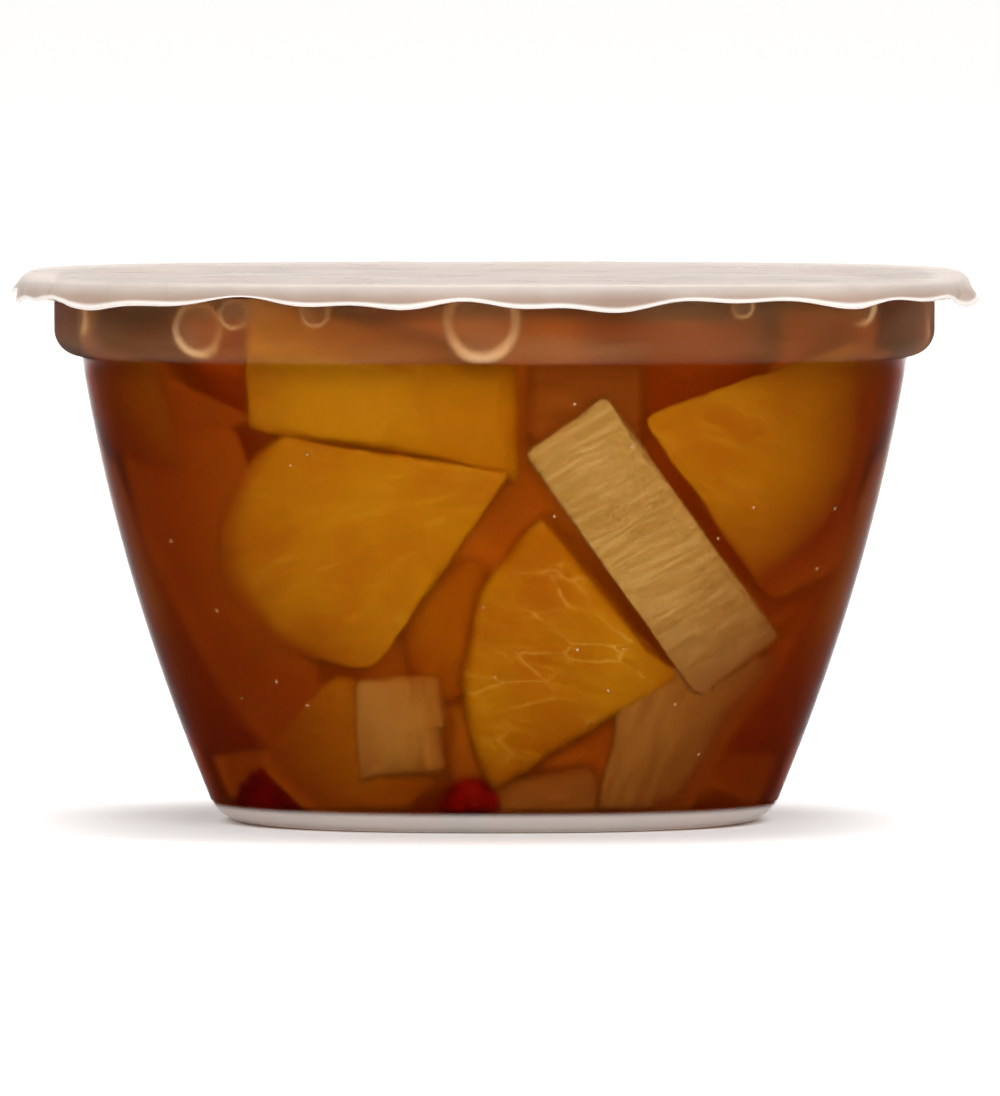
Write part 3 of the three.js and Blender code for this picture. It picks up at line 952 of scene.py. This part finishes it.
def heap_chunks():
    """Every chunk of the heap as kind, points, faces, grain and tone."""
    seed = 0
    for turn, side in SIDES:
        behind = 8 if turn in (90, 270) else 0
        for kind, outline, inset, lean, way, facet in side:
            seed += 1
            flat, faces = chunk(kind, outline, CORE_DEPTH + CORE_REACH - inset, seed, facet)
            middle = outline.mean(axis=0)
            x, z, face = flat.T
            wall = body_half(np.minimum(z, SHOULDER_BOTTOM)) - WALL - CHUNK_CLEARANCE
            y = inset + lean * (x - middle[0]) - face - wall
            rank = 5 * inset + seed % 3 + behind
            x, y, z = press_into_room(np.column_stack([x, y, z]), np.maximum(-face, 0), rank, True).T
            points = np.column_stack([*spun(x, y, turn), z])
            # Painted shadow below each chunk's own middle.
            under = UNDER_SHADE * np.maximum(middle[1] - z, 0)
            tone = tone_of(points, inset - face, seed, under)
            yield kind, points, faces, grain_of(flat, middle, way, seed), tone
    for kind, outline, top, way in LYING:
        seed += 1
        flat, faces = chunk(kind, outline, LYING_DEPTH, seed)
        x, y, face = flat.T
        rank = seed * 7 % 11 + 8
        points = press_into_room(np.column_stack([x, y, top + face]), np.maximum(-face, 0), rank)
        grain = grain_of(flat, outline.mean(axis=0), way, seed)
        yield kind, points, faces, grain, tone_of(points, 1 - face, seed, 0)


def heart_body():
    """The shaded middle of the heap."""
    profile = [(0, CORE_FLOOR)]
    profile += [(body_half(z) - CORE_DEPTH, z) for z in np.linspace(CORE_FLOOR, SHOULDER_BOTTOM, 40)]
    profile += [(CORE_BROAD, CORE_TOP), (0, CORE_TOP)]
    points, faces = turned(corner(profile, CORE_ROUND), 120)
    swell = 1.1 * bumps(points, 6.0, 3)
    return points + outward(points, 0.3) * swell[:, None], faces


# ---------------------------------------------------------------- film


def wavy(angle, mean, waves):
    """A value that waves about its mean all round."""
    return sum((height * np.sin(number * angle + phase) for number, height, phase in waves), mean)


def film_rows(angle):
    """Rows of the film from its middle to its cut edge: half width and height, before its creases."""
    flat = np.ones(len(angle))
    start = FLANGE_HALF + MARGIN_CLEARANCE - FILM_ROUND + 0.1
    top = CUP_HEIGHT + FILM_GAP + FILM_RISE
    rows = [(flat * start * t**0.8, flat * top) for t in np.linspace(0.012, 1, 74)]
    tilt = np.radians(wavy(angle, MARGIN_TILT, TILT_WAVES))
    for t in np.linspace(0, 1, 6)[1:]:
        bend = tilt * t
        rows.append((start + FILM_ROUND * np.sin(bend), top - FILM_ROUND * (1 - np.cos(bend))))
    half_end, z_end = rows[-1]
    length = wavy(angle, sizes().margin_drop / MM, MARGIN_WAVES)
    hang = np.maximum(length - (top - z_end) + 0.1, 0.2)
    for t in np.linspace(0, 1, 8)[1:]:
        rows.append((half_end + hang * t / np.tan(tilt), z_end - hang * t))
    return rows


def film_sheet():
    """The film's middle surface: points, faces, and 1 for each point along the cut edge."""
    count = sizes().segments * 2
    angle = np.linspace(0, 2 * math.pi, count, endpoint=False)
    halves, z = np.stack(film_rows(angle), axis=1)
    x, y = halves * np.cos(angle), halves * np.sin(angle)
    n = RIM_SQUARENESS
    scale = halves / (np.abs(x) ** n + np.abs(y) ** n) ** (1 / n)
    points = np.stack([x * scale, y * scale, z], axis=-1).reshape(-1, 3)
    faces = ring_faces(len(z), count) + fan(len(points), 0, count, down=True)
    faces = [face[::-1] for face in faces]
    points = np.vstack([points, [0, 0, z[0, 0]]])

    crinkle = sizes().crinkle / MM
    wide = np.append(halves.ravel(), 0)
    sealed = (wide > SEAL_INNER) & (wide < SEAL_OUTER)
    loose = np.clip(wide - FLANGE_HALF, 0, 1)
    slack = np.where(wide < SEAL_INNER, np.clip((SEAL_INNER - wide) / 6.0, 0, 1), 0)
    broad = bumps(points, 14.0, 5, 2)
    creases = bumps(points * np.array([1, 1, 0.4]), 2.2, 8)
    lift = slack * (0.35 * broad + 0.5 * crinkle * creases)
    points[:, 2] += np.where(sealed, 0, lift) + 0.15 * slack
    folds = 1 - 2.4 * np.abs(bumps(points * np.array([1, 1, 0.15]), 3.4, 13, 2))
    flutter = loose * (0.6 * creases + 0.7 * folds) * crinkle * 2.0
    points += outward(points, 0) * flutter[:, None]
    cut = np.zeros(len(points))
    cut[-1 - 2 * count : -1] = 1
    return points, faces, cut


# ---------------------------------------------------------------- operators


def finish_piece(piece, *nodes, slot):
    """Puts a piece on the cup's body, in place of its CAD nodes."""
    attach(piece, BODY)
    if nodes:
        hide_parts(*nodes)
    return piece


def applied(piece):
    """The piece with its modifiers made part of its mesh."""
    shaped = bpy.data.meshes.new_from_object(piece.evaluated_get(bpy.context.evaluated_depsgraph_get()))
    piece.modifiers.clear()
    piece.data = shaped
    return piece


class FRUITCUP_OT_fruit(bpy.types.Operator):
    """Cuts the fruit and packs it into the cup round its shaded heart"""

    bl_idname = "fruit_cup.fruit"
    bl_label = "Fruit"

    def execute(self, context):
        finishes = {
            "peach": peach_flesh(),
            "pineapple": pineapple_flesh(),
            "pear": pear_flesh(),
            "cherry": cherry_flesh(),
        }
        heaps = {kind: [] for kind in finishes}
        for kind, *parts in heap_chunks():
            heaps[kind].append(parts)
        for kind, chunks in heaps.items():
            if not chunks:
                raise RuntimeError(f"no {kind} chunks were cut")
            points, faces = joined(part[:2] for part in chunks)
            grain, tone = (np.concatenate([part[k] for part in chunks]) for k in (2, 3))
            stored = {"grain": grain, "tone": tone}
            piece = new_piece(f"{kind}_chunks", points, faces, finishes[kind], stored)
            finish_piece(piece, "fruit_heap", slot="fruit_in_syrup")
        points, faces = heart_body()
        heart = new_piece("heap_heart", points, faces, heart_of_heap())
        finish_piece(heart, "fruit_heap", slot="fruit_in_syrup")
        return {"FINISHED"}


class FRUITCUP_OT_syrup(bpy.types.Operator):
    """Fills the cup with syrup up to its film"""

    bl_idname = "fruit_cup.syrup"
    bl_label = "Syrup"

    def execute(self, context):
        top_edge = [(SHOULDER_HALF - SYRUP_INSET - SYRUP_ROUND, SYRUP_TOP), (0, SYRUP_TOP)]
        profile = [*wall_line(SYRUP_INSET, SYRUP_TOP - SYRUP_ROUND), *top_edge]
        points, faces = turned(profile, sizes().segments)
        piece = new_piece("syrup", points, faces, amber_syrup())
        finish_piece(piece, slot="fruit_in_syrup")
        return {"FINISHED"}


# Air under the film: across, width and lowest point, on the turn of each side.
BUBBLES = [
    (0, -23.4, 4.3, 38.7), (0, -20.6, 2.5, 40.7), (0, -14.2, 2.5, 40.9), (0, -1.0, 6.4, 38.3),
    (0, 19.6, 2.0, 41.6), (0, 28.6, 3.4, 40.8), (90, -12.0, 3.8, 39.6), (90, -8.6, 1.8, 41.4),
    (90, 16.5, 5.2, 38.9), (180, 6.0, 4.4, 39.2), (180, 22.0, 2.6, 40.8), (180, -18.0, 3.0, 40.2),
    (270, -4.0, 5.6, 38.8), (270, 0.6, 2.2, 41.2), (270, 20.0, 3.4, 40.0),
]


def bubble(across, width, low, rings=29, segments=40):
    """One bubble against the side at -Y: points, faces, and each point's distance out and painted light
    for its ring.
    """
    radius = width / 2
    thin = min(radius, BUBBLE_HALF_THICKNESS)
    climb = np.radians(np.linspace(-84, 84, rings))[:, None]
    angle = np.linspace(0, 2 * math.pi, segments, endpoint=False)
    x = radius * np.cos(climb) * np.cos(angle)
    y = radius * np.cos(climb) * np.sin(angle)
    z = radius * np.sin(climb) * np.ones(segments)
    points = np.stack([x, y, z], axis=-1).reshape(-1, 3)
    faces = ring_faces(rings, segments)
    faces += fan(len(points), 0, segments, down=True)
    faces += fan(len(points) + 1, (rings - 1) * segments, segments)
    x, y, z = np.vstack([points, [0, 0, -radius], [0, 0, radius]]).T
    out = np.hypot(x, z) / radius
    # Painted light: the ring is brighter low down and towards +X.
    lit = 0.4 + 0.6 * np.clip(0.5 - 0.7 * z / radius + 0.35 * x / radius, 0, 1)

    z = z + low + radius
    z = np.where(z > BUBBLE_CEILING, BUBBLE_CEILING + (z - BUBBLE_CEILING) * 0.02, z)
    half = SHOULDER_HALF - WALL - BUBBLE_CLEARANCE - thin
    n = RIM_SQUARENESS
    back = max(half**n - min(abs(across), half) ** n, 0.0) ** (1 / n)
    points = np.column_stack([x + across, y * thin / radius - back, z])
    return points, faces, np.column_stack([out, lit, lit])


class FRUITCUP_OT_bubbles(bpy.types.Operator):
    """Traps air under the film and strews fine bubbles along the wall"""

    bl_idname = "fruit_cup.bubbles"
    bl_label = "Bubbles"

    def execute(self, context):
        meshes, rounds = [], []
        for turn, across, width, low in BUBBLES:
            points, faces, round_ones = bubble(across, width, low)
            x, y, z = points.T
            meshes.append((np.column_stack([*spun(x, y, turn), z]), faces))
            rounds.append(round_ones)
        piece = new_piece("air_bubbles", *joined(meshes), trapped_air(), {"round": np.concatenate(rounds)})
        finish_piece(piece, slot="fruit_in_syrup")
        finish_piece(fine_bubbles(speck_of_air()), slot="fruit_in_syrup")
        return {"FINISHED"}


def fine_bubbles(air, rows=20, segments=64):
    """Specks of air scattered by a node tree over a surface just inside the wall."""
    heights = np.linspace(SPECK_BOTTOM, SHOULDER_BOTTOM - 1, rows)
    points, faces = turned([(body_half(z) - WALL - SPECK_INSET, z) for z in heights], segments)
    faces = faces[: (rows - 1) * segments]  # without those that close the profile
    skin = new_piece("fine_bubbles", points, faces, air)
    tree = bpy.data.node_groups.new("strew bubbles", "GeometryNodeTree")
    tree.interface.new_socket("Geometry", in_out="OUTPUT", socket_type="NodeSocketGeometry")
    kinds = {
        "Geometry": "Geometry",
        "Specks per area": "Float",
        "Smallest radius": "Float",
        "Largest radius": "Float",
        "Finish": "Material",
    }
    sockets = {
        name: tree.interface.new_socket(name, in_out="INPUT", socket_type="NodeSocket" + kind)
        for name, kind in kinds.items()
    }
    given = tree.nodes.new("NodeGroupInput")
    strewn = tree.nodes.new("GeometryNodeDistributePointsOnFaces")
    strewn.inputs["Seed"].default_value = 11
    speck = tree.nodes.new("GeometryNodeMeshIcoSphere")
    speck.inputs["Subdivisions"].default_value = 2
    speck.inputs["Radius"].default_value = 1.0
    size = tree.nodes.new("FunctionNodeRandomValue")
    size.data_type = "FLOAT"
    size.inputs["Seed"].default_value = 4
    put = tree.nodes.new("GeometryNodeInstanceOnPoints")
    real = tree.nodes.new("GeometryNodeRealizeInstances")
    smooth = tree.nodes.new("GeometryNodeSetShadeSmooth")
    coat = tree.nodes.new("GeometryNodeSetMaterial")
    result = tree.nodes.new("NodeGroupOutput")
    link = tree.links.new
    link(given.outputs["Specks per area"], strewn.inputs["Density"])
    link(given.outputs["Smallest radius"], size.inputs[2])
    link(given.outputs["Largest radius"], size.inputs[3])
    link(given.outputs["Finish"], coat.inputs["Material"])
    link(given.outputs["Geometry"], strewn.inputs["Mesh"])
    link(strewn.outputs["Points"], put.inputs["Points"])
    link(speck.outputs["Mesh"], put.inputs["Instance"])
    link(size.outputs[1], put.inputs["Scale"])
    link(put.outputs["Instances"], real.inputs["Geometry"])
    for before, after in ((real, smooth), (smooth, coat), (coat, result)):
        link(before.outputs["Geometry"], after.inputs["Geometry"])
    strew = skin.modifiers.new("strew", "NODES")
    strew.node_group = tree
    sides_area = 4 * 2 * (SIDE_HALF * MM) * (SIDE_HEIGHT * MM)
    strew[sockets["Specks per area"].identifier] = sizes().specks / sides_area
    strew[sockets["Smallest radius"].identifier] = SMALLEST_SPECK * MM
    strew[sockets["Largest radius"].identifier] = LARGEST_SPECK * MM
    strew[sockets["Finish"].identifier] = air
    return applied(skin)


class FRUITCUP_OT_cup(bpy.types.Operator):
    """Forms the clear cup with its stepped band, flange and recessed base"""

    bl_idname = "fruit_cup.cup"
    bl_label = "Cup"

    def execute(self, context):
        under = CUP_HEIGHT - FLANGE_THICKNESS
        lip = FLANGE_HALF - LIP_WIDTH
        rim = [
            (SHOULDER_HALF, under - 0.4),
            (SHOULDER_HALF, under),
            (lip, under),
            (lip, under - LIP_DROP),
            (FLANGE_HALF, under - LIP_DROP),
            (FLANGE_HALF, CUP_HEIGHT),
            (SHOULDER_HALF - WALL, CUP_HEIGHT),
            (SHOULDER_HALF - WALL, CUP_HEIGHT - 0.8),
        ]
        outer, inner = wall_line(0, under - 0.8), wall_line(WALL, CUP_HEIGHT - 1.2)
        points, faces = turned([*outer, *corner(rim, RIM_ROUND, 5), *reversed(inner)], sizes().segments)
        piece = new_piece("cup_shell", points, faces, clear_plastic())
        piece.data.materials.append(plastic_haze_and_painted_sheen())
        outside = len(outer) + 4  # rings up to the underside of the flange
        # Faces that take the veil: the band, with haze and painted sheen, and the foot's painted highlight
        # strip.
        veiled_faces = []
        for face in piece.data.polygons:
            height = face.center.z / MM
            ring = min(face.vertices) // sizes().segments
            veiled_faces.append(int(ring < outside and (height < FOOT_STRIP or height > SHOULDER_BOTTOM)))
        piece.data.polygons.foreach_set("material_index", veiled_faces)
        finish_piece(piece, "cup", slot="clear_plastic")
        return {"FINISHED"}


class FRUITCUP_OT_film(bpy.types.Operator):
    """Seals the cup with its milky peel-off film"""

    bl_idname = "fruit_cup.film"
    bl_label = "Film lid"

    def execute(self, context):
        points, faces, cut = film_sheet()
        piece = new_piece("film", points, faces, milky_film(), {"rim": np.column_stack([cut, cut, cut])})
        wall = piece.modifiers.new("thickness", "SOLIDIFY")
        wall.thickness = sizes().film_thickness
        wall.offset = 0
        finish_piece(applied(piece), "film_lid", slot="milky_film")
        return {"FINISHED"}


class FRUITCUP_OT_stage(bpy.types.Operator):
    """Sets up the pale studio, its lamps and the camera"""

    bl_idname = "fruit_cup.stage"
    bl_label = "Studio"

    def execute(self, context):
        reach = FLOOR_REACH
        ground = [(-reach, -reach, 0), (reach, -reach, 0), (reach, reach, 0), (-reach, reach, 0)]
        new_piece("studio_floor", ground, [(0, 1, 2, 3)], studio_paper())

        lamp("key", (0.3, -2.2, 1.7), (0, 0, 0.02), 1.6, look().key)
        lamp("top", (0.1, 0.2, 1.6), (0, 0, 0.03), 1.0, look().top)
        world = bpy.data.worlds.new("studio air")
        world.use_nodes = True
        light = world.node_tree.nodes["Background"]
        light.inputs["Color"].default_value = (1, 0.99, 0.98, 1)
        light.inputs["Strength"].default_value = look().air
        context.scene.world = world
        context.scene.view_settings.view_transform = "Standard"
        camera()
        return {"FINISHED"}


def lamp(name, place, target, size, power):
    """A square soft box aimed at a point."""
    light = bpy.data.lights.new(name, "AREA")
    light.shape = "SQUARE"
    light.size = size
    light.energy = power
    box = bpy.data.objects.new(name, light)
    box.location = place
    box.rotation_mode = "QUATERNION"
    box.rotation_quaternion = (Vector(target) - Vector(place)).to_track_quat("-Z", "Y")
    bpy.context.scene.collection.objects.link(box)


def camera():
    """A long lens a little above the cup, aimed at its middle."""
    elevation = math.radians(CAMERA_ELEVATION)
    pixel = MM / PIXELS_PER_MM
    back = Vector((0, -math.cos(elevation), math.sin(elevation)))
    up = Vector((0, math.sin(elevation), math.cos(elevation)))
    aim = Vector((0, 0, CUP_HEIGHT * MM)) + up * (RIM_ROW - PICTURE_ROWS / 2) * pixel
    aim.x += (PICTURE_COLUMNS / 2 - CENTRE_COLUMN) * pixel
    lens = bpy.data.cameras.new("camera")
    lens.sensor_width = SENSOR
    lens.lens = SENSOR * CAMERA_DISTANCE / (PICTURE_ROWS * pixel)
    lens.clip_start, lens.clip_end = 0.05, 100
    seen = bpy.data.objects.new("camera", lens)
    seen.location = aim + back * CAMERA_DISTANCE
    seen.rotation_mode = "QUATERNION"
    middle = Vector((aim.x, 0, CUP_HEIGHT / 2 * MM))
    seen.rotation_quaternion = (middle - seen.location).to_track_quat("-Z", "Y")
    bpy.context.scene.collection.objects.link(seen)
    bpy.context.scene.camera = seen


class FRUITCUP_PT_panel(bpy.types.Panel):
    """Lists the pieces of the fruit cup"""

    bl_label = "Fruit Cup"
    bl_idname = "FRUITCUP_PT_panel"
    bl_space_type = "VIEW_3D"
    bl_region_type = "UI"
    bl_category = "Fruit Cup"

    def draw(self, context):
        for operator in OPERATORS:
            self.layout.operator(operator.bl_idname)
        for group in (sizes(), colours(), look()):
            box = self.layout.box()
            for name in group.__annotations__:
                box.prop(group, name)


OPERATORS = (
    FRUITCUP_OT_fruit,
    FRUITCUP_OT_syrup,
    FRUITCUP_OT_bubbles,
    FRUITCUP_OT_cup,
    FRUITCUP_OT_film,
    FRUITCUP_OT_stage,
)
CLASSES = (FruitCupSizes, FruitCupColours, FruitCupLook, *OPERATORS, FRUITCUP_PT_panel)


def register():
    for cls in CLASSES:
        bpy.utils.register_class(cls)
    bpy.types.Scene.fruit_cup_sizes = PointerProperty(type=FruitCupSizes)
    bpy.types.Scene.fruit_cup_colours = PointerProperty(type=FruitCupColours)
    bpy.types.Scene.fruit_cup_look = PointerProperty(type=FruitCupLook)


def unregister():
    del bpy.types.Scene.fruit_cup_look
    del bpy.types.Scene.fruit_cup_colours
    del bpy.types.Scene.fruit_cup_sizes
    for cls in reversed(CLASSES):
        bpy.utils.unregister_class(cls)


def main():
    register()
    bpy.ops.fruit_cup.fruit()
    bpy.ops.fruit_cup.syrup()
    bpy.ops.fruit_cup.bubbles()
    bpy.ops.fruit_cup.cup()
    bpy.ops.fruit_cup.film()
    bpy.ops.fruit_cup.stage()


if __name__ == "__main__":
    main()
